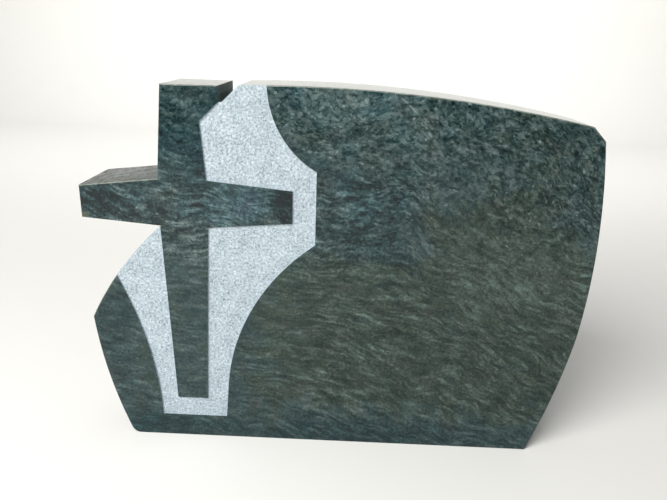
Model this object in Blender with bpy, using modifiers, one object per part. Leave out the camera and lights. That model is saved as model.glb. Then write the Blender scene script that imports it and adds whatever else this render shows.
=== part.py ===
"""A granite headstone: one upright slab, cut in one piece with a cross.

The cross's shaft and right arm lie in the polished face of the slab. Its head and left arm stand free
past the slab's upper left corner. A frosted field, sunk a little way into the face, surrounds the cross.

Lengths are in metres. X runs to the right across the face, Y runs back through the stone and Z is up.
The origin is on the ground, under the middle of the stone.
"""
import math

import bmesh
import bpy
from mathutils import Vector
from mathutils.geometry import intersect_line_line_2d

# The stone as a whole, about a metre wide
THICKNESS = 0.150
CENTRE_HEIGHT = 0.528        # ground to the cross's centre
ARRIS = 0.002                # small polished chamfer round the front and the back
ARC_STEPS = 16               # straight runs that make up each bowed side

# The cross, whose four limbs taper from the centre to their ends
FREE_ARM_REACH = 0.199       # centre line to the end of the left arm, which stands free
FREE_ARM_DROOP = 0.003       # how far that end sits below the right arm's
ARM_REACH = 0.2105           # centre line to the end of the right arm, which lies in the face
HEAD_RISE = 0.2212           # centre to the top of the head
SHAFT_DROP = 0.432           # centre to the foot of the shaft
LIMB_END = 0.064             # width of a limb at its end
LIMB_ROOT = 0.0935           # width of a limb at the centre
HEAD_RIGHT = 0.0735          # centre line to the head's own right side, where it flares out
FLARE_ANGLE = math.radians(44)

# The sawn notch between the head and the slab's shoulder
NOTCH_DEPTH = 0.029          # top of the head to the floor of the notch
NOTCH_FLOOR = 0.006

# The slab's corners, measured from the cross's centre, and how far each side bows out
SHOULDER_REACH = 0.776       # top right corner
SHOULDER_RISE = 0.168
HIP_REACH = 0.7925           # turn of the right side
HIP_DROP = 0.256
FOOT_RIGHT = 0.725
FOOT_LEFT = 0.1337
ELBOW_REACH = 0.198          # point of the left side
ELBOW_DROP = 0.2476
TOP_BOW = 0.0234
RIGHT_BOW = 0.0159
RIGHT_FOOT_BOW = 0.0064
LEFT_FOOT_BOW = 0.0102
LEFT_BOW = 0.0118            # from the elbow up to the inner corner of arm and shaft
SHOULDER_CUT = 0.0215        # taken off both sides of the top right corner, straight across
FOOT_RADIUS = 0.020          # bottom left corner; the others are left sharp
CORNER_STEPS = 6             # straight runs that make up the rounded corner

# The frosted field
FIELD_DEPTH = 0.003
FIELD_TOP_REACH = 0.1621     # centre line to the field's right edge, level with the head's top
FIELD_END_MARGIN = 0.045     # past the end of the right arm
FIELD_ABOVE_ARM = 0.0385     # straight part of the right edge, past the arm's two corners
FIELD_BELOW_ARM = 0.042
FIELD_FOOT_MARGIN = 0.0435   # below the shaft
FIELD_SIDE_MARGIN = 0.040    # beside the foot of the shaft, on the right
FIELD_LEFT_MARGIN = 0.0343   # and on the left
FIELD_WAIST_REACH = 0.0783   # where the lower right bow runs out into a straight edge
FIELD_WAIST_DROP = 0.3922
FIELD_UPPER_BOW = 0.0227
FIELD_LOWER_BOW = 0.0400
FIELD_LEFT_BOW = 0.0171
FIELD_LEFT_REACH = 0.1412    # where the left bow meets the slab's upper left side
FIELD_LEFT_DROP = 0.1541
RUN_OUT = 0.030              # how far the field's cutter runs past the stone's own edge

# Colours, as linear red, green and blue
POLISHED_GREEN = (0.045, 0.065, 0.065)
POLISHED_ROUGHNESS = 0.12
FROSTED_GREY = (0.68, 0.75, 0.78)
FROSTED_ROUGHNESS = 0.85

FLATNESS = math.radians(0.1)  # faces that turn less than this are one flat face
WELD = 0.00001

COLLECTION_NAME = "granite_headstone"
CUTTER_COLLECTION_NAME = "cutters"

# Half widths and levels that several outlines share, all measured from the cross's centre
HALF_END = LIMB_END / 2
HALF_ROOT = LIMB_ROOT / 2
NOTCH_LEVEL = HEAD_RISE - NOTCH_DEPTH
FLARE_SLOPE = math.tan(FLARE_ANGLE)


def bowed_side(start, end, bow, steps=ARC_STEPS):
    """Points on a circular arc from start up to, but not with, end.

    The arc swells by bow to the left of the way from start to end, or to the right if bow is negative.
    """
    along = end - start
    left = Vector((-along.y, along.x)).normalized()
    half_chord = along.length / 2
    radius = (half_chord ** 2 + bow ** 2) / (2 * bow)
    centre = start + along / 2 + left * (bow - radius)
    sweep = 2 * math.asin(half_chord / radius)
    spoke = start - centre
    points = []
    for step in range(steps):
        turn = -sweep * step / steps
        turned = Vector((spoke.x * math.cos(turn) - spoke.y * math.sin(turn),
                         spoke.x * math.sin(turn) + spoke.y * math.cos(turn)))
        points.append(centre + turned)
    return points


def walk(points, distance):
    """Go distance along a run of points: the point reached, and the points that lie beyond it."""
    for index in range(len(points) - 1):
        step = points[index + 1] - points[index]
        if step.length >= distance:
            return points[index] + step.normalized() * distance, points[index + 1:]
        distance -= step.length
    return points[-1], []


def cut_corner(before, corner, after, reach):
    """Take reach off the end of one side and off the start of the next, where they meet at a corner."""
    entry, rest_before = walk([corner] + before[::-1], reach)
    leave, rest_after = walk([corner] + after, reach)
    return rest_before[::-1] + [entry], [leave] + rest_after


def rounded_corner(before, corner, after, radius):
    """Join two sides at a corner by an arc of about the given radius."""
    turn = (corner - before[-1]).angle(after[0] - corner)
    before, after = cut_corner(before, corner, after, radius * math.tan(turn / 2))
    bow = (after[0] - before[-1]).length / 2 * math.tan(turn / 4)
    return before[:-1] + bowed_side(before[-1], after[0], bow, CORNER_STEPS) + after


def head_taper(rise):
    """Half width of the head at a height above the cross's centre, on its plain taper."""
    share = (rise - HALF_ROOT) / (HEAD_RISE - HALF_ROOT)
    return HALF_ROOT + (HALF_END - HALF_ROOT) * share


def flare_start():
    """Where the head's right side leaves its taper and flares out to the notch."""
    taper_slope = (HALF_END - HALF_ROOT) / (HEAD_RISE - HALF_ROOT)
    fall = HEAD_RIGHT - head_taper(NOTCH_LEVEL)
    drop = fall * FLARE_SLOPE / (1 - taper_slope * FLARE_SLOPE)
    rise = NOTCH_LEVEL - drop
    return Vector((head_taper(rise), rise))


def notched_top(top_side):
    """The top of the stone from the head's right corner on, with the notch sawn out of it."""
    floor_end = Vector((HEAD_RIGHT + NOTCH_FLOOR, NOTCH_LEVEL))
    far_along = floor_end + Vector((1, FLARE_SLOPE)) * (HEAD_RISE + TOP_BOW - NOTCH_LEVEL) / FLARE_SLOPE
    for index in range(len(top_side) - 1):
        crossing = intersect_line_line_2d(floor_end, far_along, top_side[index], top_side[index + 1])
        if crossing is not None:
            break
    return [Vector((HEAD_RIGHT, NOTCH_LEVEL)), floor_end, crossing] + top_side[index + 1:]


def stone_outline():
    """The whole silhouette, clockwise from the lower corner of the left arm's end."""
    head_corner = Vector((HEAD_RIGHT, HEAD_RISE))
    shoulder = Vector((SHOULDER_REACH, SHOULDER_RISE))
    hip = Vector((HIP_REACH, -HIP_DROP))
    foot_right = Vector((FOOT_RIGHT, -CENTRE_HEIGHT))
    foot_left = Vector((-FOOT_LEFT, -CENTRE_HEIGHT))
    elbow = Vector((-ELBOW_REACH, -ELBOW_DROP))
    inner_corner = Vector((-HALF_ROOT, -HALF_ROOT))

    free_limbs = [
        Vector((-FREE_ARM_REACH, -HALF_END - FREE_ARM_DROOP)),
        Vector((-FREE_ARM_REACH, HALF_END - FREE_ARM_DROOP)),
        Vector((-HALF_ROOT, HALF_ROOT)),
        Vector((-HALF_END, HEAD_RISE)),
        head_corner,
    ]
    top = notched_top(bowed_side(head_corner, shoulder, TOP_BOW))
    right = bowed_side(shoulder, hip, RIGHT_BOW)[1:]
    top, right = cut_corner(top, shoulder, right, SHOULDER_CUT)
    right_foot = bowed_side(hip, foot_right, RIGHT_FOOT_BOW)
    left_foot = bowed_side(foot_left, elbow, LEFT_FOOT_BOW)[1:]
    bottom_and_left = rounded_corner([foot_right], foot_left, left_foot, FOOT_RADIUS)
    left = bowed_side(elbow, inner_corner, LEFT_BOW)
    return free_limbs + top + right + right_foot + bottom_and_left + left + [inner_corner]


def field_outline():
    """The frosted field, round the cross's own edges and back along the field's outer edge."""
    above_top = HEAD_RISE + RUN_OUT
    inside_notch = HEAD_RIGHT + NOTCH_FLOOR / 2
    flare = flare_start()
    field_right = ARM_REACH + FIELD_END_MARGIN
    field_foot = -SHAFT_DROP - FIELD_FOOT_MARGIN
    inner_corner = Vector((-HALF_ROOT, -HALF_ROOT))

    cross_edge = [
        inner_corner,
        Vector((-HALF_END, -SHAFT_DROP)),
        Vector((HALF_END, -SHAFT_DROP)),
        Vector((HALF_ROOT, -HALF_ROOT)),
        Vector((ARM_REACH, -HALF_END)),
        Vector((ARM_REACH, HALF_END)),
        Vector((HALF_ROOT, HALF_ROOT)),
        flare,
        Vector((inside_notch, flare.y + (inside_notch - flare.x) * FLARE_SLOPE)),
        Vector((inside_notch, above_top)),
    ]
    top_end = Vector((FIELD_TOP_REACH, HEAD_RISE))
    upper_right = Vector((field_right, HALF_END + FIELD_ABOVE_ARM))
    lower_right = Vector((field_right, -HALF_END - FIELD_BELOW_ARM))
    waist = Vector((FIELD_WAIST_REACH, -FIELD_WAIST_DROP))
    foot_right = Vector((HALF_END + FIELD_SIDE_MARGIN, field_foot))
    foot_left = Vector((-HALF_END - FIELD_LEFT_MARGIN, field_foot))
    left_end = Vector((-FIELD_LEFT_REACH, -FIELD_LEFT_DROP))

    outer_edge = [Vector((FIELD_TOP_REACH, above_top))]
    outer_edge += bowed_side(top_end, upper_right, -FIELD_UPPER_BOW)
    outer_edge += [upper_right]
    outer_edge += bowed_side(lower_right, waist, -FIELD_LOWER_BOW)
    outer_edge += [waist, foot_right]
    left_bow = bowed_side(foot_left, left_end, -FIELD_LEFT_BOW)
    run_out = (left_end - left_bow[-1]).normalized() * RUN_OUT
    outer_edge += left_bow + [left_end, left_end + run_out]
    return cross_edge + outer_edge


def new_collection(name):
    """A collection of the scene."""
    collection = bpy.data.collections.new(name)
    bpy.context.scene.collection.children.link(collection)
    return collection


def new_material(name, colour, roughness):
    """A plain stone finish."""
    material = bpy.data.materials.new(name)
    material.use_nodes = True
    shader = material.node_tree.nodes["Principled BSDF"]
    shader.inputs["Base Color"].default_value = (*colour, 1.0)
    shader.inputs["Roughness"].default_value = roughness
    shader.inputs["Metallic"].default_value = 0.0
    material.diffuse_color = (*colour, 1.0)
    return material


def standing_plate(name, outline, centre_x, front, back, material, collection):
    """A plate of the given outline that stands upright, from front to back along Y."""
    curve = bpy.data.curves.new(name + "_outline", "CURVE")
    curve.dimensions = "2D"
    curve.fill_mode = "BOTH"
    curve.extrude = (back - front) / 2
    spline = curve.splines.new("POLY")
    spline.points.add(len(outline) - 1)
    for point, place in zip(spline.points, outline):
        point.co = (place.x, place.y, 0.0, 1.0)
    spline.use_cyclic_u = True
    drawn = bpy.data.objects.new(name + "_outline", curve)
    drawn.location = (centre_x, (front + back) / 2, CENTRE_HEIGHT)
    drawn.rotation_euler = (math.pi / 2, 0.0, 0.0)
    collection.objects.link(drawn)
    bpy.context.view_layer.update()

    graph = bpy.context.evaluated_depsgraph_get()
    mesh = bpy.data.meshes.new_from_object(drawn.evaluated_get(graph))
    shape = bmesh.new()
    shape.from_mesh(mesh)
    bmesh.ops.remove_doubles(shape, verts=shape.verts, dist=WELD)
    bmesh.ops.dissolve_limit(shape, angle_limit=FLATNESS, verts=shape.verts, edges=shape.edges)
    bmesh.ops.recalc_face_normals(shape, faces=shape.faces)
    shape.to_mesh(mesh)
    shape.free()
    mesh.materials.clear()
    mesh.materials.append(material)

    plate = bpy.data.objects.new(name, mesh)
    plate.matrix_world = drawn.matrix_world
    collection.objects.link(plate)
    bpy.data.objects.remove(drawn)
    bpy.data.curves.remove(curve)
    return plate


def chamfer_faces(plate, width):
    """Ease the edges all round the plate's two faces, and leave its upright corners sharp."""
    weights = plate.data.attributes.new("bevel_weight_edge", "FLOAT", "EDGE")
    for edge in plate.data.edges:
        depths = [plate.data.vertices[index].co.z for index in edge.vertices]
        weights.data[edge.index].value = float(math.isclose(depths[0], depths[1], abs_tol=width / 2))
    bevel = plate.modifiers.new("arris", "BEVEL")
    bevel.limit_method = "WEIGHT"
    bevel.offset_type = "OFFSET"
    bevel.width = width
    bevel.segments = 1


def sink(plate, cutter):
    """Cut one shape out of another, and give the cut faces the cutter's finish."""
    cutter.hide_render = True
    cutter.display_type = "WIRE"
    boolean = plate.modifiers.new(cutter.name, "BOOLEAN")
    boolean.operation = "DIFFERENCE"
    boolean.solver = "EXACT"
    boolean.material_mode = "TRANSFER"
    boolean.object = cutter


def build():
    """Model the headstone in an emptied scene."""
    for item in list(bpy.data.objects):
        bpy.data.objects.remove(item)
    parts = new_collection(COLLECTION_NAME)
    cutters = new_collection(CUTTER_COLLECTION_NAME)
    polished = new_material("granite_polished", POLISHED_GREEN, POLISHED_ROUGHNESS)
    frosted = new_material("granite_frosted", FROSTED_GREY, FROSTED_ROUGHNESS)

    outline = stone_outline()
    reaches = [place.x for place in outline]
    centre_x = -(min(reaches) + max(reaches)) / 2
    face = -THICKNESS / 2
    headstone = standing_plate("headstone", outline, centre_x, face, -face, polished, parts)
    chamfer_faces(headstone, ARRIS)
    field = standing_plate("frosted_field", field_outline(), centre_x, face - FIELD_DEPTH, face + FIELD_DEPTH,
                           frosted, cutters)
    sink(headstone, field)


build()
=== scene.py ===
"""A granite headstone: one polished slab cut in one piece with a cross, and a frosted field round the cross.

Lengths are in metres. X runs to the right across the face, Y runs back through the stone and Z is up.
"""
import math

import bmesh
import bpy
import numpy as np
from bpy.props import FloatProperty, FloatVectorProperty, IntProperty, PointerProperty
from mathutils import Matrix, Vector
from mathutils.geometry import delaunay_2d_cdt, intersect_line_line_2d


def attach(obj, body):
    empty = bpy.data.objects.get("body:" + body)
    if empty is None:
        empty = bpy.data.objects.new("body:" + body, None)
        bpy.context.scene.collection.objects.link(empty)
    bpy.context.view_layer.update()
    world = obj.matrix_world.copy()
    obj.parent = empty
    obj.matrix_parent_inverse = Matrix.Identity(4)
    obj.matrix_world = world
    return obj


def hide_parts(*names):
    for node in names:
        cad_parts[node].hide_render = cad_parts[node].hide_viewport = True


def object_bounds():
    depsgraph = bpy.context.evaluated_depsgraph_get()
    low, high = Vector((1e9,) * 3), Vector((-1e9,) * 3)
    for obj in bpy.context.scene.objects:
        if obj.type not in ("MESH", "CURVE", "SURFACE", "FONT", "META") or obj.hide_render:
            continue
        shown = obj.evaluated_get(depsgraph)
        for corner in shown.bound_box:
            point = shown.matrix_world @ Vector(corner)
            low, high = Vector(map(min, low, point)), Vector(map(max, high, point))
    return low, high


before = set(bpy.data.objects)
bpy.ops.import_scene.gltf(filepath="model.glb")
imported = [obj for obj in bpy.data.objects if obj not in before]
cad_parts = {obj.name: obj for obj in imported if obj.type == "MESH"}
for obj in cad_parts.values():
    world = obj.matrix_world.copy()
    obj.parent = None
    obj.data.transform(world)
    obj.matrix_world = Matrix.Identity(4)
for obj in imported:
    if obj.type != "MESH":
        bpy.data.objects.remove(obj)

CAD_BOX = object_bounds()

bl_info = {
    "name": "Granite Headstone",
    "version": (1, 0, 0),
    "blender": (4, 5, 0),
    "location": "View3D > Sidebar > Headstone",
    "description": "Makes a polished granite headstone with a cross in a frosted field, and a plain studio",
    "category": "Add Mesh",
}

ARC_STEPS = 16       # straight runs that make up each bowed side
CORNER_STEPS = 6     # and the rounded corner
SMOOTH_SIDE = math.radians(28)    # sides that meet at less are shaded as one
SMOOTH_ARRIS = math.radians(50)   # and so are an arris's own facets
FLUSH = math.radians(0.05)        # faces that meet at less are joined into one
SQUARE_ON, LEVEL, SIDEWAYS, UPWARDS = 0.99, 0.9, 0.1, 0.8   # how much of a face's normal points one way
HIGHLIGHT_RISE = 2.0     # how fast the painted highlight on an arris grows as it turns upwards
SAME_POINT = 1e-6    # corners nearer than this are one
SAME_SPOT = 1e-7     # and so are the net's points
NET_JITTER = 0.3     # how far the net's points stray, in steps of the net
NET_BORDER_GAP = 0.6   # and how near they come to its border
RIM_SPACING = 2      # steps of the net between points on its border
POLISHED, FROSTED, SAWN = range(3)   # the stone's finishes, in the order of its material slots


def length(name, description, default):
    """A size of the stone, in metres."""
    return FloatProperty(name=name, description=description, default=default, min=0.0, precision=4,
                         unit="LENGTH")


def colour(name, description, default):
    """A colour that a user may change."""
    return FloatVectorProperty(name=name, description=description, default=default, min=0.0, max=1.0,
                               size=3, subtype="COLOR")


class CrossSizes(bpy.types.PropertyGroup):
    """The cross, measured from its centre; its four limbs taper to their ends."""
    centre_height: length("Centre height", "Ground to the cross's centre", 0.528)
    free_arm_reach: length("Free arm reach", "Centre line to the end of the left, free arm", 0.199)
    free_arm_droop: length("Free arm droop", "How far that end sits below the right arm's", 0.003)
    arm_reach: length("Arm reach", "Centre line to the end of the right arm", 0.2105)
    head_rise: length("Head rise", "Centre to the top of the head", 0.2212)
    shaft_drop: length("Shaft drop", "Centre to the foot of the shaft", 0.432)
    limb_end: length("Limb end", "Width of a limb at its end", 0.064)
    limb_root: length("Limb root", "Width of a limb at the centre", 0.0935)
    head_right: length("Head's right side", "Centre line to the head's side where it flares out", 0.0735)
    flare_angle: FloatProperty(name="Flare angle", description="Slope of the flare below the notch",
                               default=math.radians(44), subtype="ANGLE")
    notch_depth: length("Notch depth", "Top of the head to the floor of the sawn notch", 0.029)
    notch_floor: length("Notch floor", "Width of the notch at its floor", 0.006)


class SlabSizes(bpy.types.PropertyGroup):
    """The slab's corners, measured from the cross's centre, and how far each side bows out."""
    thickness: length("Thickness", "Front to back", (CAD_BOX[1] - CAD_BOX[0]).y)
    arris: length("Arris", "Small polished chamfer round the front and the back", 0.002)
    shoulder_reach: length("Shoulder reach", "Top right corner, to the right", 0.776)
    shoulder_rise: length("Shoulder rise", "Top right corner, upwards", 0.168)
    shoulder_cut: length("Shoulder cut", "Taken off both sides of the top right corner", 0.0215)
    hip_reach: length("Hip reach", "Turn of the right side, to the right", 0.7925)
    hip_drop: length("Hip drop", "Turn of the right side, downwards", 0.256)
    foot_right: length("Right foot", "Bottom right corner, to the right", 0.725)
    foot_left: length("Left foot", "Bottom left corner, to the left", 0.1337)
    foot_radius: length("Foot radius", "Rounding of the bottom left corner", 0.020)
    elbow_reach: length("Elbow reach", "Point of the left side, to the left", 0.198)
    elbow_drop: length("Elbow drop", "Point of the left side, downwards", 0.2476)
    top_bow: length("Top bow", "Swell of the top", 0.0234)
    right_bow: length("Right bow", "Swell of the upper right side", 0.0159)
    right_foot_bow: length("Right foot bow", "Swell of the lower right side", 0.0064)
    left_foot_bow: length("Left foot bow", "Swell of the lower left side", 0.0102)
    left_bow: length("Left bow", "Swell from the elbow up to the cross", 0.0118)


class FieldSizes(bpy.types.PropertyGroup):
    """The frosted field, sunk into the face round the cross."""
    depth: length("Depth", "Face to the field's floor", 0.003)
    top_reach: length("Top reach", "Centre line to the field's right edge at the head's top", 0.1621)
    end_margin: length("End margin", "Past the end of the right arm", 0.045)
    above_arm: length("Above the arm", "Straight edge above the right arm's end", 0.0385)
    below_arm: length("Below the arm", "Straight edge below the right arm's end", 0.042)
    foot_margin: length("Foot margin", "Below the shaft", 0.0435)
    side_margin: length("Side margin", "Right of the shaft's foot", 0.040)
    left_margin: length("Left margin", "Left of the shaft's foot", 0.0343)
    waist_reach: length("Waist reach", "Where the lower right bow ends, to the right", 0.0783)
    waist_drop: length("Waist drop", "Where the lower right bow ends, downwards", 0.3922)
    upper_bow: length("Upper bow", "Hollow of the upper right edge", 0.0227)
    lower_bow: length("Lower bow", "Hollow of the lower right edge", 0.0400)
    left_bow: length("Left bow", "Hollow of the left edge", 0.0171)
    left_reach: length("Left reach", "Where the left edge meets the slab's side, to the left", 0.1412)
    left_drop: length("Left drop", "Where the left edge meets the slab's side, downwards", 0.1541)
    run_out: length("Run out", "How far the field's cutter runs past the stone's own edge", 0.030)
    net: length("Net", "Spacing of the points that carry the grain", 0.0019)
    grain: length("Grain", "Size of one blasted grain", 0.0042)
    relief: length("Relief", "Height of the blasted grain", 0.0007)
    calm: length("Calm margin", "Smooth border of the field", 0.005)
    seed: IntProperty(name="Seed", description="Picks one of many blasted surfaces", default=7)


class GraniteColours(bpy.types.PropertyGroup):
    """Colours of the polished, the frosted and the sawn stone."""
    darkest: colour("Darkest crystals", "Mica in the polished stone", (0.003, 0.008, 0.009))
    dark: colour("Dark crystals", "The polished stone's darker crystals", (0.010, 0.028, 0.030))
    body: colour("Body", "The polished stone's usual colour", (0.034, 0.060, 0.060))
    light: colour("Light crystals", "Feldspar in the polished stone", (0.090, 0.130, 0.127))
    bright: colour("Bright crystals", "The palest grains in the polished stone", (0.21, 0.26, 0.25))
    teal: colour("Teal tint", "Cool patches", (0.73, 0.93, 1.0))
    sky: colour("Blue tint", "The bluest patches, on the cross", (0.86, 0.90, 1.0))
    leaf: colour("Green tint", "Pale streaks over the lower right", (0.93, 1.0, 0.96))
    warm: colour("Warm tint", "Brown and purple patches", (1.0, 0.86, 0.88))
    olive: colour("Olive tint", "Wash over the lower right", (1.0, 0.86, 0.66))
    worn: colour("Worn corner", "Rubbed spot on the end of the free arm", (0.085, 0.085, 0.045))
    # Colour of the duller, olive patches on the free arm's top
    weathered: colour("Weathered top", "Dull film on the free arm's top", (0.060, 0.072, 0.044))
    # Painted highlight: the pale line along the stone's upward-facing arrises
    honed: colour("Honed arris", "The pale, worn line along the stone's upper edges", (0.33, 0.36, 0.30))
    frost: colour("Frost", "The blasted field", (0.39, 0.455, 0.495))
    frost_low: colour("Low frost", "The blasted field towards its foot", (0.38, 0.45, 0.50))
    frost_pale: colour("Pale frost", "The field's palest grains", (0.62, 0.695, 0.725))
    frost_cool: colour("Cool frost", "Greener grains in the field", (0.97, 1.0, 0.98))
    frost_warm: colour("Warm frost", "Pinker grains in the field", (1.0, 0.975, 1.0))
    frost_speck: colour("Frost specks", "Dark grains that show in the field", (0.10, 0.14, 0.155))
    sawn: colour("Sawn stone", "The back, the underside and the notch", (0.16, 0.20, 0.19))


class StudioSettings(bpy.types.PropertyGroup):
    """The floor, the light and the camera."""
    floor: colour("Floor", "Pale paper sweep", (0.90, 0.89, 0.85))
    sky: FloatProperty(name="Fill light", description="Strength of the even light all round", default=0.265,
                       min=0.0)
    key: FloatProperty(name="Key light", description="Power of the large soft lamp", default=154.0, min=0.0,
                       unit="POWER")
    back: FloatProperty(name="Back light", description="Power of the soft lamp over the back of the paper",
                        default=190.0, min=0.0, unit="POWER")
    lens: FloatProperty(name="Lens", description="Focal length of the camera", default=32.068, min=1.0,
                        subtype="DISTANCE_CAMERA")
    camera_place: FloatVectorProperty(name="Camera place", description="Where the camera stands", size=3,
                                      default=(0.00974, -1.16978, 0.83303), subtype="TRANSLATION",
                                      unit="LENGTH")
    camera_turn: FloatVectorProperty(name="Camera turn", description="Which way the camera looks", size=3,
                                     default=tuple(math.radians(a) for a in (70.5258, -1.8662, 1.6565)),
                                     subtype="EULER")


class HeadstoneSettings(bpy.types.PropertyGroup):
    """Everything that the panel shows."""
    cross: PointerProperty(type=CrossSizes)
    slab: PointerProperty(type=SlabSizes)
    field: PointerProperty(type=FieldSizes)
    granite: PointerProperty(type=GraniteColours)
    studio: PointerProperty(type=StudioSettings)


# Outlines, drawn in the plane of the face: x to the right and y up, from the cross's centre

def bowed_side(start, end, bow, steps=ARC_STEPS):
    """Points on a circular arc from start up to, but not with, end.

    The arc swells by bow to the left of the way from start to end, or to the right if bow is negative.
    """
    along = end - start
    left = Vector((-along.y, along.x)).normalized()
    half_chord = along.length / 2
    radius = (half_chord ** 2 + bow ** 2) / (2 * bow)
    centre = start + along / 2 + left * (bow - radius)
    sweep = 2 * math.asin(half_chord / radius)
    spoke = start - centre
    points = []
    for step in range(steps):
        turn = -sweep * step / steps
        points.append(centre + Vector((spoke.x * math.cos(turn) - spoke.y * math.sin(turn),
                                       spoke.x * math.sin(turn) + spoke.y * math.cos(turn))))
    return points


def walk(points, distance):
    """Go distance along a run of points: the point reached, and the points that lie beyond it."""
    for index in range(len(points) - 1):
        step = points[index + 1] - points[index]
        if step.length >= distance:
            return points[index] + step.normalized() * distance, points[index + 1:]
        distance -= step.length
    return points[-1], []


def cut_corner(before, corner, after, reach):
    """Take reach off the end of one side and off the start of the next, where they meet at a corner."""
    entry, rest_before = walk([corner] + before[::-1], reach)
    leave, rest_after = walk([corner] + after, reach)
    return rest_before[::-1] + [entry], [leave] + rest_after


def rounded_corner(before, corner, after, radius):
    """Join two sides at a corner by an arc of about the given radius."""
    turn = (corner - before[-1]).angle(after[0] - corner)
    before, after = cut_corner(before, corner, after, radius * math.tan(turn / 2))
    bow = (after[0] - before[-1]).length / 2 * math.tan(turn / 4)
    return before[:-1] + bowed_side(before[-1], after[0], bow, CORNER_STEPS) + after


def flare_start(cross):
    """Where the head's right side leaves its taper and flares out to the notch."""
    half_end, half_root = cross.limb_end / 2, cross.limb_root / 2
    taper = (half_end - half_root) / (cross.head_rise - half_root)
    notch_level = cross.head_rise - cross.notch_depth
    slope = math.tan(cross.flare_angle)
    fall = cross.head_right - half_root - taper * (notch_level - half_root)
    rise = notch_level - fall * slope / (1 - taper * slope)
    return Vector((half_root + taper * (rise - half_root), rise))


def notched_top(cross, slab, top_side):
    """The top of the stone from the head's right corner on, with the notch sawn out of it."""
    level = cross.head_rise - cross.notch_depth
    slope = math.tan(cross.flare_angle)
    floor_end = Vector((cross.head_right + cross.notch_floor, level))
    far_along = floor_end + Vector((1, slope)) * (cross.notch_depth + slab.top_bow) / slope
    for index in range(len(top_side) - 1):
        crossing = intersect_line_line_2d(floor_end, far_along, top_side[index], top_side[index + 1])
        if crossing is not None:
            break
    return [Vector((cross.head_right, level)), floor_end, crossing] + top_side[index + 1:]


def stone_outline(cross, slab):
    """The whole silhouette, clockwise from the lower corner of the left arm's end."""
    half_end, half_root = cross.limb_end / 2, cross.limb_root / 2
    head_corner = Vector((cross.head_right, cross.head_rise))
    shoulder = Vector((slab.shoulder_reach, slab.shoulder_rise))
    hip = Vector((slab.hip_reach, -slab.hip_drop))
    foot_right = Vector((slab.foot_right, -cross.centre_height))
    foot_left = Vector((-slab.foot_left, -cross.centre_height))
    elbow = Vector((-slab.elbow_reach, -slab.elbow_drop))
    inner_corner = Vector((-half_root, -half_root))

    free_limbs = [Vector(corner) for corner in (
        (-cross.free_arm_reach, -half_end - cross.free_arm_droop),
        (-cross.free_arm_reach, half_end - cross.free_arm_droop),
        (-half_root, half_root),
        (-half_end, cross.head_rise),
        head_corner,
    )]
    top = notched_top(cross, slab, bowed_side(head_corner, shoulder, slab.top_bow))
    right = bowed_side(shoulder, hip, slab.right_bow)[1:]
    top, right = cut_corner(top, shoulder, right, slab.shoulder_cut)
    right_foot = bowed_side(hip, foot_right, slab.right_foot_bow)
    left_foot = bowed_side(foot_left, elbow, slab.left_foot_bow)[1:]
    bottom_and_left = rounded_corner([foot_right], foot_left, left_foot, slab.foot_radius)
    left = bowed_side(elbow, inner_corner, slab.left_bow)
    return free_limbs + top + right + right_foot + bottom_and_left + left + [inner_corner]


def field_outline(cross, field):
    """The frosted field, round the cross's own edges and back along the field's outer edge."""
    half_end, half_root = cross.limb_end / 2, cross.limb_root / 2
    above_top = cross.head_rise + field.run_out
    inside_notch = cross.head_right + cross.notch_floor / 2
    flare = flare_start(cross)
    flare_end = flare.y + (inside_notch - flare.x) * math.tan(cross.flare_angle)
    field_right = cross.arm_reach + field.end_margin
    field_foot = -cross.shaft_drop - field.foot_margin

    cross_edge = [Vector(corner) for corner in (
        (-half_root, -half_root),
        (-half_end, -cross.shaft_drop),
        (half_end, -cross.shaft_drop),
        (half_root, -half_root),
        (cross.arm_reach, -half_end),
        (cross.arm_reach, half_end),
        (half_root, half_root),
        flare,
        (inside_notch, flare_end),
        (inside_notch, above_top),
    )]
    top_end = Vector((field.top_reach, cross.head_rise))
    upper_right = Vector((field_right, half_end + field.above_arm))
    lower_right = Vector((field_right, -half_end - field.below_arm))
    waist = Vector((field.waist_reach, -field.waist_drop))
    foot_right = Vector((half_end + field.side_margin, field_foot))
    foot_left = Vector((-half_end - field.left_margin, field_foot))
    left_end = Vector((-field.left_reach, -field.left_drop))

    outer_edge = [Vector((field.top_reach, above_top))]
    outer_edge += bowed_side(top_end, upper_right, -field.upper_bow)
    outer_edge += [upper_right]
    outer_edge += bowed_side(lower_right, waist, -field.lower_bow)
    outer_edge += [waist, foot_right]
    left_bow = bowed_side(foot_left, left_end, -field.left_bow)
    run_out = (left_end - left_bow[-1]).normalized() * field.run_out
    outer_edge += left_bow + [left_end, left_end + run_out]
    return cross_edge + outer_edge


# The stone's mesh

def plate_mesh(name, outline, middle, front, back, arris=0.0):
    """A closed plate that stands upright with the given outline, its face edges eased by arris."""
    shape = bmesh.new()
    front_ring = [shape.verts.new((middle.x + p.x, front, middle.y + p.y)) for p in outline]
    back_ring = [shape.verts.new((middle.x + p.x, back, middle.y + p.y)) for p in outline]
    faces = [shape.faces.new(front_ring), shape.faces.new(back_ring[::-1])]
    for index in range(len(outline)):
        shape.faces.new((front_ring[index], front_ring[index - 1], back_ring[index - 1], back_ring[index]))
    bmesh.ops.recalc_face_normals(shape, faces=shape.faces)
    if arris:
        rims = [edge for face in faces for edge in face.edges]
        bmesh.ops.bevel(shape, geom=rims, offset=arris, offset_type="OFFSET", segments=2, profile=0.5,
                        affect="EDGES")
    mesh = bpy.data.meshes.new(name)
    shape.to_mesh(mesh)
    shape.free()
    return mesh


def finished_mesh(piece):
    """The plain mesh that a piece's modifiers make."""
    bpy.context.view_layer.update()
    return bpy.data.meshes.new_from_object(piece.evaluated_get(bpy.context.evaluated_depsgraph_get()))


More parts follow.
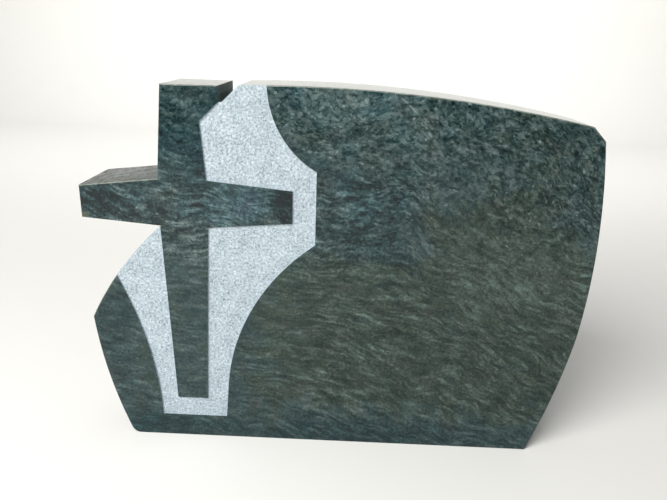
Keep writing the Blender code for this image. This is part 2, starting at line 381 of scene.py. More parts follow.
def sunk_field(stone_mesh, field_mesh):
    """The stone with its field cut out, as a plain mesh whose second material lies on the cut faces."""
    stone = bpy.data.objects.new("stone_before_the_field", stone_mesh)
    cutter = bpy.data.objects.new("field_cutter", field_mesh)
    for item in (stone, cutter):
        bpy.context.scene.collection.objects.link(item)
    boolean = stone.modifiers.new("field", "BOOLEAN")
    boolean.operation = "DIFFERENCE"
    boolean.solver = "EXACT"
    boolean.material_mode = "TRANSFER"
    boolean.object = cutter
    cut = finished_mesh(stone)
    for item in (stone, cutter):
        mesh = item.data
        bpy.data.objects.remove(item)
        bpy.data.meshes.remove(mesh)
    return cut


def border_distance(points, border):
    """Distance from each point to the nearest edge of a closed border, and whether it lies inside."""
    nearest = np.full(len(points), np.inf)
    inside = np.zeros(len(points), bool)
    for start, end in zip(border, np.roll(border, -1, axis=0)):
        along = end - start
        to_point = points - start
        share = np.clip(to_point @ along / (along @ along), 0.0, 1.0)
        nearest = np.minimum(nearest, np.linalg.norm(to_point - share[:, None] * along, axis=1))
        spans = (start[1] > points[:, 1]) != (end[1] > points[:, 1])
        if along[1]:
            inside ^= spans & (points[:, 0] < start[0] + along[0] * to_point[:, 1] / along[1])
    return nearest, inside


def net_floor(shape, floor, blasted, finish, field):
    """Remake the field's floor as a fine net of triangles that keeps its border, ready for the grain."""
    depth = floor.verts[0].co.y
    plain_border = np.array([(vert.co.x, vert.co.z) for vert in floor.verts])
    for edge in list(floor.edges):
        for pieces in range(math.ceil(edge.calc_length() / (RIM_SPACING * field.net)), 1, -1):
            bmesh.utils.edge_split(edge, edge.verts[0], 1 / pieces)
    rim = list(floor.verts)
    low, high = plain_border.min(axis=0), plain_border.max(axis=0)
    columns, rows = (np.arange(*ends, field.net) for ends in zip(low, high))
    spots = np.stack(np.meshgrid(columns, rows), axis=-1).reshape(-1, 2)
    spots += np.random.default_rng(field.seed).uniform(-NET_JITTER, NET_JITTER, spots.shape) * field.net
    nearest, inside = border_distance(spots, plain_border)
    keep = inside & (nearest > NET_BORDER_GAP * field.net)
    spots, nearest = spots[keep], nearest[keep]
    places = [Vector((vert.co.x, vert.co.z)) for vert in rim] + [Vector(spot) for spot in spots.tolist()]
    found, _, triangles, sources, _, _ = delaunay_2d_cdt(places, [], [list(range(len(rim)))], 1, SAME_SPOT)
    verts = []
    for place, source in zip(found, sources):
        if source[0] < len(rim):
            verts.append(rim[source[0]])
            continue
        vert = shape.verts.new((place.x, depth, place.y))
        vert[blasted] = min(1.0, nearest[source[0] - len(rim)] / field.calm)
        verts.append(vert)
    shape.faces.remove(floor)
    for corners in triangles:
        face = shape.faces.new([verts[corner] for corner in corners])
        face[finish] = FROSTED
        face.smooth = True
        face.normal_update()
        if face.normal.y > 0:
            face.normal_flip()


def finish_stone(mesh, slab, field, notch):
    """Net the field's floor, and mark which faces are polished, frosted and sawn and which are arrises, with
    a painted highlight on the upward-facing arrises.
    """
    shape = bmesh.new()
    shape.from_mesh(mesh)
    honed = shape.faces.layers.float.new("honed")
    blasted = shape.verts.layers.float.new("blasted")
    finish = shape.faces.layers.int.new("finish")
    weathered = shape.faces.layers.float.new("weathered")
    notch_start, notch_end, notch_floor = notch
    bmesh.ops.remove_doubles(shape, verts=shape.verts, dist=SAME_POINT)
    bmesh.ops.dissolve_limit(shape, angle_limit=FLUSH, verts=shape.verts, edges=shape.edges,
                             delimit={"MATERIAL"})
    floor_faces = []
    arrises = set()
    for face in shape.faces:
        middle = face.calc_center_median()
        facing = abs(face.normal.y)
        on_side = facing < SIDEWAYS
        in_notch = notch_start <= middle.x <= notch_end and middle.z >= notch_floor
        underneath = face.normal.z < -LEVEL and middle.z < slab.arris
        face.smooth = facing < SQUARE_ON
        if face.material_index == FROSTED:
            face[finish] = FROSTED
            if facing > LEVEL:
                floor_faces.append(face)
        elif face.normal.y > LEVEL or underneath or on_side and in_notch:
            face[finish] = SAWN
        elif on_side and face.normal.z > UPWARDS:
            # the tops; only the free arm's top gets the duller olive patches
            face[weathered] = 1.0
        elif SIDEWAYS < facing < SQUARE_ON and abs(middle.y) > slab.thickness / 2 - slab.arris:
            arrises.add(face)
            # painted highlight on the arris, stronger the more it faces up
            face[honed] = max(0.0, min(1.0, HIGHLIGHT_RISE * face.normal.z))
    for edge in shape.edges:
        first, second = edge.link_faces
        widest = SMOOTH_ARRIS if first in arrises else SMOOTH_SIDE
        alike = (first in arrises) == (second in arrises)
        edge.smooth = alike and first.normal.angle(second.normal) < widest
    if len(floor_faces) != 1:
        raise RuntimeError(f"the frosted field's floor came out as {len(floor_faces)} faces, not as one")
    net_floor(shape, floor_faces[0], blasted, finish, field)
    loose = [edge for edge in shape.edges if not edge.is_manifold]
    if loose:
        raise RuntimeError(f"the stone isn't closed: {len(loose)} of its edges don't join two faces")
    shape.to_mesh(mesh)
    shape.free()
    mesh.materials.clear()


# Node trees, wired up by plain expressions

class Wire:
    """What a node gives out. Arithmetic on it adds Math nodes to its tree."""

    def __init__(self, board, socket):
        self.board = board
        self.socket = socket

    def maths(self, operation, first, second):
        return self.board.node("ShaderNodeMath", {"operation": operation}, {0: first, 1: second})

    def __add__(self, other):
        return self.maths("ADD", self, other)

    def __sub__(self, other):
        return self.maths("SUBTRACT", self, other)

    def __rsub__(self, other):
        return self.maths("SUBTRACT", other, self)

    def __mul__(self, other):
        return self.maths("MULTIPLY", self, other)

    def __truediv__(self, other):
        return self.maths("DIVIDE", self, other)

    def __rtruediv__(self, other):
        return self.maths("DIVIDE", other, self)

    def __abs__(self):
        return self.maths("ABSOLUTE", self, 0.0)

    __radd__ = __add__
    __rmul__ = __mul__


class Board:
    """A node tree, and the one way to add a node to it."""

    def __init__(self, tree):
        self.tree = tree

    def feed(self, socket, value):
        """Link a socket to another node, or set its own value."""
        if isinstance(value, Wire):
            self.tree.links.new(value.socket, socket)
        elif socket.type == "RGBA":
            socket.default_value = (*value, 1.0)
        else:
            socket.default_value = value

    def node(self, kind, settings=None, inputs=None, output=0):
        """Add a node: first its settings, then the values or links of its sockets."""
        made = self.tree.nodes.new(kind)
        for name, value in (settings or {}).items():
            if name == "stops":
                ramp = made.color_ramp.elements
                while len(ramp) < len(value):
                    ramp.new(1.0)
                for stop, (spot, shade) in zip(ramp, value):
                    stop.position = spot
                    stop.color = (*shade, 1.0)
            else:
                setattr(made, name, value)
        for name, value in (inputs or {}).items():
            self.feed(made.inputs[name], value)
        return Wire(self, made.outputs[output])

    def outputs(self, wire):
        """Every output of the node that a wire comes from, by name."""
        return {socket.name: Wire(self, socket) for socket in wire.socket.node.outputs}

    def noise(self, place, size, detail=2.0, roughness=0.5):
        """Soft noise from 0 to 1 whose lumps are about size across."""
        return self.node("ShaderNodeTexNoise", None,
                         {"Vector": place, "Scale": 1 / size, "Detail": detail, "Roughness": roughness})

    def cells(self, place):
        """Random numbers from 0 to 1, the same all over each crystal-like cell."""
        cell = self.node("ShaderNodeTexVoronoi", None, {"Vector": place, "Scale": 1.0}, "Color")
        return self.outputs(self.node("ShaderNodeSeparateColor", None, {0: cell}))

    def vector(self, x, y, z):
        """A vector made of three numbers."""
        return self.node("ShaderNodeCombineXYZ", None, {0: x, 1: y, 2: z})

    def vectors(self, operation, *values, output=0):
        """Vector maths on vectors."""
        return self.node("ShaderNodeVectorMath", {"operation": operation}, dict(enumerate(values)), output)


class Finish(Board):
    """One of the stone's finishes, as a material."""

    def __init__(self, name):
        self.material = bpy.data.materials.new(name)
        self.material.use_nodes = True
        super().__init__(self.material.node_tree)
        self.shader = self.tree.nodes["Principled BSDF"]
        self.place = self.node("ShaderNodeTexCoord", output="Object")
        self.x, self.y, self.z = self.outputs(
            self.node("ShaderNodeSeparateXYZ", None, {0: self.place})).values()

    def mark(self, name):
        """A number that the mesh itself carries."""
        return self.node("ShaderNodeAttribute", {"attribute_name": name}, output="Fac")

    def ease(self, value, low, high):
        """0 where value is at low, 1 where it is at high, and smooth between them."""
        return self.node("ShaderNodeMapRange", {"interpolation_type": "SMOOTHSTEP"},
                         {"Value": value, "From Min": low, "From Max": high})

    def region(self, x_bounds, z_bounds):
        """1 within a region of the face and 0 past its bounds, each of which is eased from 0 to 1."""
        share = 1.0
        for place, bounds in ((self.x, x_bounds), (self.z, z_bounds)):
            for outside, inside in bounds:
                share = self.ease(place, outside, inside) * share
        return share

    def wave(self, size, detail=1.0, roughness=0.5):
        """Soft noise about 0 whose lumps are about size across."""
        return self.noise(self.place, size, detail, roughness) - 0.5

    def measured(self, place, sizes):
        """A place given as three coordinates, each counted in its own size."""
        return self.vector(*(way / size for way, size in zip(place, sizes)))

    def mix(self, factor, first, second, blend="MIX"):
        """Two colours mixed."""
        return self.node("ShaderNodeMix", {"data_type": "RGBA", "blend_type": blend},
                         {0: factor, 6: first, 7: second}, output=2)

    def bump(self, height, distance, strength):
        """A normal tipped by a height from 0 to 1."""
        return self.node("ShaderNodeBump", None,
                         {"Height": height, "Distance": distance, "Strength": strength})

    def give(self, values):
        """Set or link the shader's own sockets."""
        for name, value in values.items():
            self.feed(self.shader.inputs[name], value)
        return self.material


# The polished stone's crystals and streaks: length, depth and width, laid along the way that the streaks run
CRYSTAL = (0.00624, 0.0048, 0.0048)   # round, in the upper part
STREAK = (0.0170, 0.0054, 0.0054)   # drawn out, in the lower part
RIBBON = (0.075, 0.009, 0.009)   # pale, among the streaks
FLOW = (0.046, 0.020, 0.014)   # clusters of streaks
CLOUD = (0.026, 0.016, 0.015)   # clusters of round crystals
SMALL_GRAIN = 0.0058
FINE_GRAIN = 0.0024

# How much each counts in the grain, and how much more it counts high up or on the head
STREAK_SHARE, FLOW_SHARE, SMALL_SHARE, RIBBON_SHARE = 0.10, 0.35, 0.36, 0.075
CRYSTAL_SHARE, CLOUD_SHARE = 0.19, 0.66
FINE_SHARE, FINE_SHARE_HIGH = 0.13, 0.05
SPECK_SHARE, SPECK_SHARE_HIGH, SPECK_SHARE_HEAD = 0.07, 0.07, 0.12
STREAKS_DARKER = 0.018   # than the round crystals
SQUARE_MEAN = 0.33   # of the square of a random number from 0 to 1
RIBBON_EDGE = (0.52, 0.72)   # noise at which a ribbon starts and is whole
SPECK_EDGE = (0.975, 0.985)   # so that one crystal in fifty is a pale speck

# How the streaks run
DIP = 0.23   # fall to the right
DIP_GROWTH = 0.42   # and how it grows towards the right edge
LEAN = 0.35   # slant of the streaks' ends
SWAY_SIZE, SWAY = 0.20, 0.09   # size and strength of their wander, from broad to fine
CURL_SIZE, CURL = 0.085, 0.05
RIPPLE_SIZE, RIPPLE = 0.050, 0.020
ROUGH_SIZE, ROUGH, ROUGH_ALONG = 0.006, 0.0026, 0.004
CURLED = (0.05, 0.35)   # x where the curls start, and where they are whole
CALM_HIGH = 0.65   # how much less the round crystals wander
ROUNDED = (0.48, 0.70)   # z over which the streaks turn into round crystals
ROUNDED_SWAY, ROUNDED_TILT = 0.6, 0.25   # how that height wanders, and how much lower it lies to the right
LEFT_ROUND = 0.35   # share of round crystals at the left, on the cross
PAST_LEFT = (-0.26, -0.08)   # x over which the rest come in
BENDS = (   # x, z, where it ends and is whole to the side, and up and down, and how much steeper
    (-0.17, 0.53, (0.14, 0.05), (0.14, 0.04), 0.22),
    (0.05, 0.49, (0.14, 0.07), (0.13, 0.06), -0.30),
)

# Regions of the face: bounds in x, then in z, each given by where the region ends and where it is whole
LOWER_LEFT = (((-0.02, -0.12),), ((0.44, 0.38),))
MIDDLE_LEFT = (((0.22, 0.05),), ((0.38, 0.48), (0.65, 0.53)))
HEAD = (((-0.20, -0.32),), ((0.56, 0.68),))
LOWER_RIGHT = (((-0.30, 0.0),), ((0.54, 0.36), (0.02, 0.16)))
WISPY = (((0.05, 0.30),), ((0.36, 0.46),))
BOLDER = ((LOWER_LEFT, -0.18), (MIDDLE_LEFT, 0.80), (HEAD, 0.60))   # and how much bolder the grain is there


def bedding(finish):
    """How the stone's crystals lie: the ways along and across them, and where they are round.

    They are round high up, and drawn out into streaks lower down.
    """
    x, z = finish.x, finish.z
    sway = finish.wave(SWAY_SIZE)
    curl = finish.wave(CURL_SIZE) * finish.ease(x, *CURLED)
    ripple = finish.wave(RIPPLE_SIZE)
    rough = finish.wave(ROUGH_SIZE)
    high = (finish.ease(z + ROUNDED_SWAY * sway + ROUNDED_TILT * x, *ROUNDED)
            * (LEFT_ROUND + (1.0 - LEFT_ROUND) * finish.ease(x, *PAST_LEFT)))
    right = x.maths("MAXIMUM", x, 0.0)
    across = z + DIP * x + DIP_GROWTH * right * right
    for middle_x, middle_z, aside, up_or_down, steeper in BENDS:
        beside, above = x - middle_x, z - middle_z
        bend = beside * finish.ease(abs(beside), *aside) * finish.ease(abs(above), *up_or_down)
        across = across + steeper * bend
    across = across + SWAY * sway + (1.0 - CALM_HIGH * high) * (CURL * curl + RIPPLE * ripple) + ROUGH * rough
    along = x - LEAN * z + ROUGH_ALONG * rough
    return along, across, high


def granite_grain(finish):
    """The stone's own grain about 0.5, dark below and pale above, and each crystal's hue from 0 to 1."""
    along, across, high = bedding(finish)
    laid = (along, finish.y, across)
    drawn = finish.cells(finish.measured(laid, STREAK))["Red"]
    round_ones = finish.cells(finish.measured(laid, CRYSTAL))
    flow = finish.noise(finish.measured(laid, FLOW), 1.0, 2.0, 0.65) - 0.5
    clouds = finish.noise(finish.measured(laid, CLOUD), 1.0, 3.0, 0.80) - 0.5
    ribbons = finish.ease(finish.noise(finish.measured(laid, RIBBON), 1.0, 1.0), *RIBBON_EDGE)
    small = finish.wave(SMALL_GRAIN, 2.0, 0.7)
    fine = finish.wave(FINE_GRAIN)
    specks = finish.ease(round_ones["Green"], *SPECK_EDGE)

    lower = (STREAK_SHARE * (drawn * drawn - SQUARE_MEAN) + FLOW_SHARE * flow + SMALL_SHARE * small
             + RIBBON_SHARE * ribbons - STREAKS_DARKER)
    upper = CRYSTAL_SHARE * (round_ones["Red"] - 0.5) + CLOUD_SHARE * clouds
    bold = 1.0
    for region, share in BOLDER:
        bold = share * finish.region(*region) + bold
    grain = (0.50 + (lower + (upper - lower) * high) * bold + (FINE_SHARE + FINE_SHARE_HIGH * high) * fine
             + (SPECK_SHARE + SPECK_SHARE_HIGH * high + SPECK_SHARE_HEAD * finish.region(*HEAD)) * specks)
    return grain, round_ones["Blue"]


WASHES = (   # x, z, half width, half height, how much paler, how much bluer (below 0, more olive)
    (0.05, 0.52, 0.12, 0.11, -0.045, 0.7),
    (0.10, 0.45, 0.06, 0.04, -0.060, 0.6),
    (-0.19, 0.53, 0.07, 0.05, 0.100, 2.0),
    (-0.095, 0.54, 0.05, 0.07, -0.150, 1.0),
    (-0.275, 0.525, 0.035, 0.032, -0.090, 0.9),
    (-0.49, 0.54, 0.06, 0.06, -0.095, 0.5),
    (-0.41, 0.54, 0.07, 0.05, -0.060, 0.5),
    (-0.29, 0.63, 0.07, 0.09, -0.060, 0.9),
    (0.00, 0.74, 0.16, 0.07, 0.062, 0.3),
    (0.37, 0.60, 0.12, 0.10, -0.010, -0.5),
    (0.29, 0.51, 0.17, 0.06, -0.010, -0.8),
    (0.36, 0.40, 0.19, 0.10, 0.040, -0.7),
    (-0.46, 0.27, 0.06, 0.12, -0.035, 0.2),
    (-0.38, 0.02, 0.18, 0.05, -0.060, 0.5),
    (0.06, 0.02, 0.36, 0.05, -0.045, 0.5),
    (0.16, 0.66, 0.10, 0.07, 0.035, 0.0),
)
WASH_EDGE = (1.25, 0.30)   # where a wash ends and where it is whole, in half widths and half heights
STIR, STIR_SCALE = 0.10, 14.0   # how far and how finely the washes are stirred
WISP_SIZE, WISP_WIDTH = 0.080, 0.022
WISP_DARKER = 0.07
VEIN_MIDDLE = (0.118, 0.727)   # x and z of the short pale vein under the top
VEIN_RUN = (0.74, -0.67)   # it falls to the right
VEIN_HALF_WIDTH = (0.0022, 0.0004)
VEIN_HALF_LENGTH = (0.026, 0.012)
VEIN_PALER = 0.15


def washes(finish):
    """Broad soft patches, thin wisps and a vein: how much paler and how much bluer the stone is there."""
    stir = finish.node("ShaderNodeTexNoise", None,
                       {"Vector": finish.place, "Scale": STIR_SCALE, "Detail": 2.0}, "Color")
    stirred = finish.vectors("MULTIPLY_ADD", stir, (STIR, STIR, STIR), finish.place)
    paler, bluer = 0.0, 0.0
    for x, z, wide, high, pale, blue in WASHES:
        offset = finish.vectors("SUBTRACT", stirred, (x + STIR / 2, STIR / 2, z + STIR / 2))
        offset = finish.vectors("DIVIDE", offset, (wide, 1.0, high))
        share = finish.ease(finish.vectors("LENGTH", offset, output="Value"), *WASH_EDGE)
        paler = share * pale + paler
        bluer = share * blue + bluer
    wisps = finish.ease(abs(finish.noise(stirred, WISP_SIZE, 2.0) - 0.5), WISP_WIDTH, 0.0)
    paler = paler - WISP_DARKER * wisps * finish.region(*WISPY)
    right, up = finish.x - VEIN_MIDDLE[0], finish.z - VEIN_MIDDLE[1]
    along = VEIN_RUN[0] * right + VEIN_RUN[1] * up
    across = VEIN_RUN[0] * up - VEIN_RUN[1] * right
    vein = finish.ease(abs(across), *VEIN_HALF_WIDTH) * finish.ease(abs(along), *VEIN_HALF_LENGTH)
    return paler + VEIN_PALER * vein, bluer


CRYSTAL_TONES = (0.30, 0.41, 0.52, 0.66, 0.82)   # the grain at which each of the crystals' colours is pure
PALE_CRYSTALS = (0.50, 0.64)
PATCH_SIZE, PATCHINESS = 0.045, 2.8
HUE_SPREAD, WARM_HUE_SPREAD = 0.35, 0.12   # how much single crystals differ in tint
TEAL_FROM, SKY_FROM, OLIVE_FROM = (0.0, 1.0), (1.1, 2.2), (0.2, -1.0)   # tints over which each comes in
OLIVE_ON_PALE = 0.25   # share of the olive that shows on the pale crystals
WARM_SIZE, WARM_FROM, WARM_SHARE = 0.038, (0.53, 0.68), 0.8
WORN_CORNER = (-0.496, 0.494)   # x and z at the lower corner of the free arm's end
WORN_EDGE = (0.00018, 0.00002)   # squared distance where the spot ends and where it is whole
WORN_SHARE = 0.6
DULL_PATCH = (0.014, 0.026, 0.014)
DULL_EDGE, DULL_SHARE = (0.36, 0.66), 0.6
DULL_HEIGHT = (0.70, 0.62)   # z: the duller patches stay below this, on the free arm
# painted highlight along the upward-facing arrises: its share, how much its patches add, then the patches'
# size and edge
HIGHLIGHT_SHARE, HIGHLIGHT_PATCHINESS = 0.35, 0.45
HIGHLIGHT_PATCH_SIZE, HIGHLIGHT_PATCH_EDGE = 0.010, (0.30, 0.65)
POLISH, DULL_ROUGHER = 0.10, 0.17   # roughness
POLISH_RIPPLE, POLISH_RIPPLE_HEIGHT = 0.005, 0.00004


def tinted(finish, colours, base, grain, hue, bluer):
    """The crystals' colours with patches over them: cool or olive, green low on the right, and warm."""
    low = finish.region(*LOWER_RIGHT)
    pale = finish.ease(grain, *PALE_CRYSTALS)
    tint = bluer + PATCHINESS * finish.wave(PATCH_SIZE, 3.0, 0.6) + HUE_SPREAD * (hue - 0.5) - low
    olive = finish.ease(tint, *OLIVE_FROM) * (1.0 - (1.0 - OLIVE_ON_PALE) * pale)
    warm = finish.ease(finish.noise(finish.place, WARM_SIZE, 2.0) + WARM_HUE_SPREAD * (hue - 0.5), *WARM_FROM)
    tints = (
        (finish.ease(tint, *TEAL_FROM), colours.teal),
        (finish.ease(tint, *SKY_FROM), colours.sky),
        (low * pale, colours.leaf),
        (olive, colours.olive),
        (warm * WARM_SHARE, colours.warm),
    )
    for share, shade in tints:
        base = finish.mix(share, base, shade, "MULTIPLY")
    return base


def polished_granite(colours):
    """Dark green granite, polished to a shine, with a worn corner, duller olive patches on the free arm's
    top, and a painted highlight along the upward-facing arrises.
    """
    finish = Finish("granite_polished")
    paler, bluer = washes(finish)
    grain, hue = granite_grain(finish)
    grain = grain + paler
    shades = (colours.darkest, colours.dark, colours.body, colours.light, colours.bright)
    base = finish.node("ShaderNodeValToRGB", {"stops": list(zip(CRYSTAL_TONES, shades))}, {"Fac": grain})
    base = tinted(finish, colours, base, grain, hue, bluer)

    right, up = finish.x - WORN_CORNER[0], finish.z - WORN_CORNER[1]
    base = finish.mix(finish.ease(right * right + up * up, *WORN_EDGE) * WORN_SHARE, base, colours.worn)
    # duller, olive patches on the free arm's top, below DULL_HEIGHT
    dull_patches = finish.noise(finish.measured((finish.x, finish.y, finish.z), DULL_PATCH), 1.0, 3.0, 0.75)
    dull_patches = finish.mark("weathered") * finish.ease(dull_patches, *DULL_EDGE) * finish.ease(finish.z, *DULL_HEIGHT)
    base = finish.mix(dull_patches * DULL_SHARE, base, colours.weathered)
    # painted highlight along the upward-facing arrises, broken into patches
    highlight_patches = finish.ease(finish.noise(finish.place, HIGHLIGHT_PATCH_SIZE, 2.0, 0.6), *HIGHLIGHT_PATCH_EDGE)
    base = finish.mix(finish.mark("honed") * (HIGHLIGHT_SHARE + HIGHLIGHT_PATCHINESS * highlight_patches), base, colours.honed)
    ripple = finish.bump(finish.noise(finish.place, POLISH_RIPPLE, 1.0), POLISH_RIPPLE_HEIGHT, 1.0)
    return finish.give({"Base Color": base, "Roughness": dull_patches * DULL_ROUGHER + POLISH,
                        "Specular IOR Level": 0.3, "Normal": ripple})


FROST_GRAIN, FROST_CLOUD, FROST_HUE, FROST_DUST = 0.0048, 0.022, 0.007, 0.0022   # sizes
FROST_DUST_HEIGHT = 0.0004
FROST_HUE_EDGE = (0.35, 0.65)
FROST_HEIGHT = (0.05, 0.60)   # z over which the field's colour changes
FROST_CLOUDINESS, FROST_DARKER_HIGH = 0.18, 0.012
FROST_PALE_FROM, FROST_SPECK_FROM = (-0.03, 0.17), (0.02, -0.24)
BORDER_SPECKS = 0.40   # how strong the specks are in the field's smooth border


def frosted_granite(colours):
    """The same granite blasted to a pale frost, with its darker grains showing as specks."""
    finish = Finish("granite_frosted")
    height = finish.ease(finish.z, *FROST_HEIGHT)
    base = finish.mix(height, colours.frost_low, colours.frost)
    tone = (finish.wave(FROST_GRAIN, 3.0, 0.85) + FROST_CLOUDINESS * finish.wave(FROST_CLOUD, 2.0)
            - FROST_DARKER_HIGH * height)
    base = finish.mix(finish.ease(tone, *FROST_PALE_FROM), base, colours.frost_pale)
    specks = BORDER_SPECKS + (1.0 - BORDER_SPECKS) * finish.mark("blasted")
    base = finish.mix(finish.ease(tone, *FROST_SPECK_FROM) * specks, base, colours.frost_speck)
    hue = finish.ease(finish.noise(finish.place, FROST_HUE, 2.0), *FROST_HUE_EDGE)
    base = finish.mix(hue, base, colours.frost_cool, "MULTIPLY")
    base = finish.mix(1.0 - hue, base, colours.frost_warm, "MULTIPLY")
    dust = finish.noise(finish.place, FROST_DUST, 2.0)
    return finish.give({"Base Color": base, "Roughness": 0.85, "Specular IOR Level": 0.3,
                        "Normal": finish.bump(dust, FROST_DUST_HEIGHT, 0.5)})


SAWN_DARKEST, SAWN_PALEST = 0.55, 1.5   # shares of the sawn stone's colour
SAWN_GRAIN = (0.35, 0.70)
SAW_LINES, SAW_RUNS = 240.0, 2.0   # in a metre, across and along the saw's cut
SAW_CURVE = 0.10   # how much the saw's lines curve
SAW_LINE_HEIGHT = 0.0006
SAW_LINE_EDGE, SAW_LINE_SHARE = (0.40, 0.62), 0.35


def sawn_granite(colours):
    """The back, the underside and the notch as the saw left them, dull and paler."""
    finish = Finish("granite_sawn")
    grain, _ = granite_grain(finish)
    base = finish.mix(finish.ease(grain, *SAWN_GRAIN), [SAWN_DARKEST * part for part in colours.sawn],
                      colours.sawn)
    curved = finish.z + SAW_CURVE * finish.x * finish.x
    cut = finish.vector(finish.x * SAW_RUNS, finish.y * SAW_RUNS, curved * SAW_LINES)
    lines = finish.noise(cut, 1.0, 2.0, 0.7)
    base = finish.mix(finish.ease(lines, *SAW_LINE_EDGE) * SAW_LINE_SHARE, base,
                      [SAWN_PALEST * part for part in colours.sawn])
    return finish.give({"Base Color": base, "Roughness": 0.7, "Specular IOR Level": 0.4,
                        "Normal": finish.bump(lines, SAW_LINE_HEIGHT, 0.35)})


def grain_tree(materials):
    """Geometry nodes that raise the blasted grain on the field's floor and give every face its finish."""
    tree = bpy.data.node_groups.new("Blasted grain", "GeometryNodeTree")
    for name, kind in (("Stone", "Geometry"), ("Grain", "Float"), ("Relief", "Float"), ("Seed", "Int")):
        tree.interface.new_socket(name, in_out="INPUT", socket_type="NodeSocket" + kind)
    tree.interface.new_socket("Stone", in_out="OUTPUT", socket_type="NodeSocketGeometry")
    board = Board(tree)
    given = board.outputs(board.node("NodeGroupInput"))
    place = board.vectors("ADD", board.node("GeometryNodeInputPosition"), given["Seed"])
    height = board.noise(place, given["Grain"], 3.0, 0.6) - 0.5
    blasted = board.node("GeometryNodeInputNamedAttribute", {"data_type": "FLOAT"}, {"Name": "blasted"})
    rise = height * blasted * given["Relief"] * 2.0
    offset = board.vector(0.0, rise * -1.0, 0.0)   # out of the face, which looks along -Y
    stone = board.node("GeometryNodeSetPosition", None, {"Geometry": given["Stone"], "Offset": offset})
    stone = board.node("GeometryNodeRealizeInstances", None, {0: stone})
    finish = board.node("GeometryNodeInputNamedAttribute", {"data_type": "INT"}, {"Name": "finish"})
    for index, material in enumerate(materials):
        chosen = board.node("FunctionNodeCompare", {"data_type": "INT", "operation": "EQUAL"},
                            {2: finish, 3: index})
        stone = board.node("GeometryNodeSetMaterial", None,
                           {"Geometry": stone, "Selection": chosen, "Material": material})
    tree.links.new(stone.socket, tree.nodes.new("NodeGroupOutput").inputs[0])
    return tree


def grained(piece, tree, values):
    """Run a tree over a piece and keep what it makes as a plain mesh."""
    modifier = piece.modifiers.new(tree.name, "NODES")
    modifier.node_group = tree
    for item in tree.interface.items_tree:
        if item.in_out == "INPUT" and item.name in values:
            modifier[item.identifier] = values[item.name]
    made, before = finished_mesh(piece), piece.data
    piece.modifiers.clear()
    piece.data = made
    bpy.data.meshes.remove(before)


# Operators, the panel and the run

class HEADSTONE_OT_stone(bpy.types.Operator):
    """Make the granite slab with its cross and frosted field"""
    bl_idname = "headstone.make_stone"
    bl_label = "Make the stone"
    bl_options = {"REGISTER", "UNDO"}

    def execute(self, context):
        settings = context.scene.headstone
        cross, slab, field = settings.cross, settings.slab, settings.field
        materials = [make(settings.granite) for make in (polished_granite, frosted_granite, sawn_granite)]

        outline = stone_outline(cross, slab)
        reaches = [point.x for point in outline]
        middle = Vector((-(min(reaches) + max(reaches)) / 2, cross.centre_height))
        front = -slab.thickness / 2
        stone_mesh = plate_mesh("stone", outline, middle, front, -front, slab.arris)
        stone_mesh.materials.append(materials[POLISHED])
        field_mesh = plate_mesh("field", field_outline(cross, field), middle, front - field.run_out,
                                front + field.depth)
        field_mesh.materials.append(materials[FROSTED])
        mesh = sunk_field(stone_mesh, field_mesh)
        notch_start = middle.x + cross.head_right - slab.arris
        notch_end = notch_start + cross.notch_floor + cross.notch_depth
        notch_floor = middle.y + cross.head_rise - cross.notch_depth - slab.arris
        finish_stone(mesh, slab, field, (notch_start, notch_end, notch_floor))

        piece = bpy.data.objects.new("granite_headstone", mesh)
        context.scene.collection.objects.link(piece)
        grained(piece, grain_tree(materials),
                {"Grain": field.grain, "Relief": field.relief, "Seed": field.seed})
        piece.data.name = piece.name
        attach(piece, "root")
        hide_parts("headstone")
        return {"FINISHED"}


LAMPS = (   # name, the setting with its power, width, depth, where it hangs and where it looks
    ("key_light", "key", 2.4, 2.4, (-1.4, -2.2, 2.6), (0.0, 0.0, 0.35)),
    ("back_light", "back", 10.0, 2.6, (0.0, 2.6, 3.4), (0.0, 5.5, 0.8)),
)


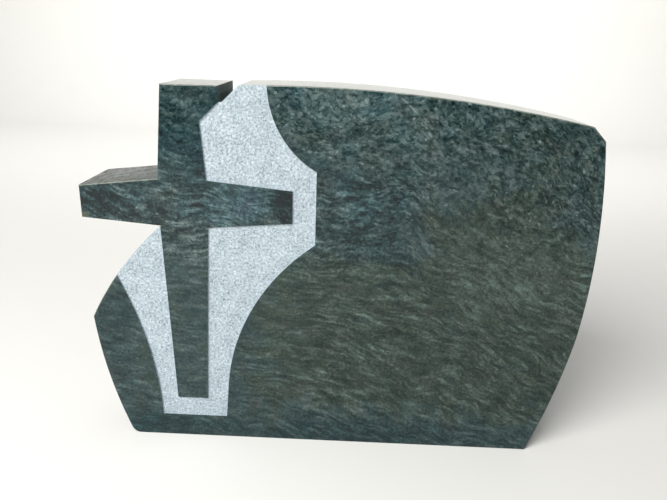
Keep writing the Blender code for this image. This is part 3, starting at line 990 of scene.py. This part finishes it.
class HEADSTONE_OT_studio(bpy.types.Operator):
    """Make the pale paper sweep, the soft light and the camera"""
    bl_idname = "headstone.make_studio"
    bl_label = "Make the studio"
    bl_options = {"REGISTER", "UNDO"}

    def execute(self, context):
        studio = context.scene.headstone.studio
        scene = context.scene
        paper = Finish("studio_paper")
        paper.give({"Base Color": tuple(studio.floor), "Roughness": 0.9, "Specular IOR Level": 0.1})
        sweep = bpy.data.objects.new("paper_sweep", sweep_mesh())
        sweep.data.materials.append(paper.material)
        scene.collection.objects.link(sweep)

        world = bpy.data.worlds.new("studio_world")
        world.use_nodes = True
        background = world.node_tree.nodes["Background"]
        background.inputs["Color"].default_value = (1.0, 1.0, 1.0, 1.0)
        background.inputs["Strength"].default_value = studio.sky
        scene.world = world

        for name, power, wide, deep, place, target in LAMPS:
            lamp = bpy.data.lights.new(name, "AREA")
            lamp.energy = getattr(studio, power)
            lamp.shape = "ELLIPSE"
            lamp.size = wide
            lamp.size_y = deep
            light = bpy.data.objects.new(name, lamp)
            light.location = place
            light.rotation_euler = (Vector(target) - light.location).to_track_quat("-Z", "Y").to_euler()
            scene.collection.objects.link(light)

        camera = bpy.data.objects.new("camera", bpy.data.cameras.new("camera"))
        camera.data.lens = studio.lens
        camera.location = studio.camera_place
        camera.rotation_euler = studio.camera_turn
        scene.collection.objects.link(camera)
        scene.camera = camera
        scene.view_settings.view_transform = "Standard"
        return {"FINISHED"}


def sweep_mesh(half_width=9.0, front=-5.0, bend_start=4.4, bend=1.1, top=1.36, steps=32):
    """Paper that lies on the floor and curves up behind the stone."""
    profile = [(front, 0.0)]
    for step in range(steps + 1):
        turn = math.pi / 2 * step / steps
        profile.append((bend_start + bend * math.sin(turn), bend - bend * math.cos(turn)))
    profile.append((bend_start + bend, top))
    verts = [(side * half_width, y, z) for y, z in profile for side in (-1, 1)]
    faces = [(row, row + 1, row + 3, row + 2) for row in range(0, len(verts) - 2, 2)]
    mesh = bpy.data.meshes.new("paper_sweep")
    mesh.from_pydata(verts, [], faces)
    mesh.shade_smooth()
    return mesh


class HEADSTONE_PT_panel(bpy.types.Panel):
    """Sizes and colours, and the buttons that make the stone and its studio"""
    bl_idname = "HEADSTONE_PT_panel"
    bl_label = "Headstone"
    bl_space_type = "VIEW_3D"
    bl_region_type = "UI"
    bl_category = "Headstone"

    def draw(self, context):
        settings = context.scene.headstone
        for part in type(settings).__annotations__:
            group = getattr(settings, part)
            box = self.layout.box()
            box.label(text=part.title())
            for size in type(group).__annotations__:
                box.prop(group, size)
        for maker in (HEADSTONE_OT_stone, HEADSTONE_OT_studio):
            self.layout.operator(maker.bl_idname)


CLASSES = (CrossSizes, SlabSizes, FieldSizes, GraniteColours, StudioSettings, HeadstoneSettings,
           HEADSTONE_OT_stone, HEADSTONE_OT_studio, HEADSTONE_PT_panel)


def register():
    for item in CLASSES:
        bpy.utils.register_class(item)
    bpy.types.Scene.headstone = PointerProperty(type=HeadstoneSettings)


def unregister():
    del bpy.types.Scene.headstone
    for item in reversed(CLASSES):
        bpy.utils.unregister_class(item)


def main():
    """Register the add-on, then make the stone and its studio."""
    register()
    bpy.ops.headstone.make_stone()
    bpy.ops.headstone.make_studio()


if __name__ == "__main__":
    main()
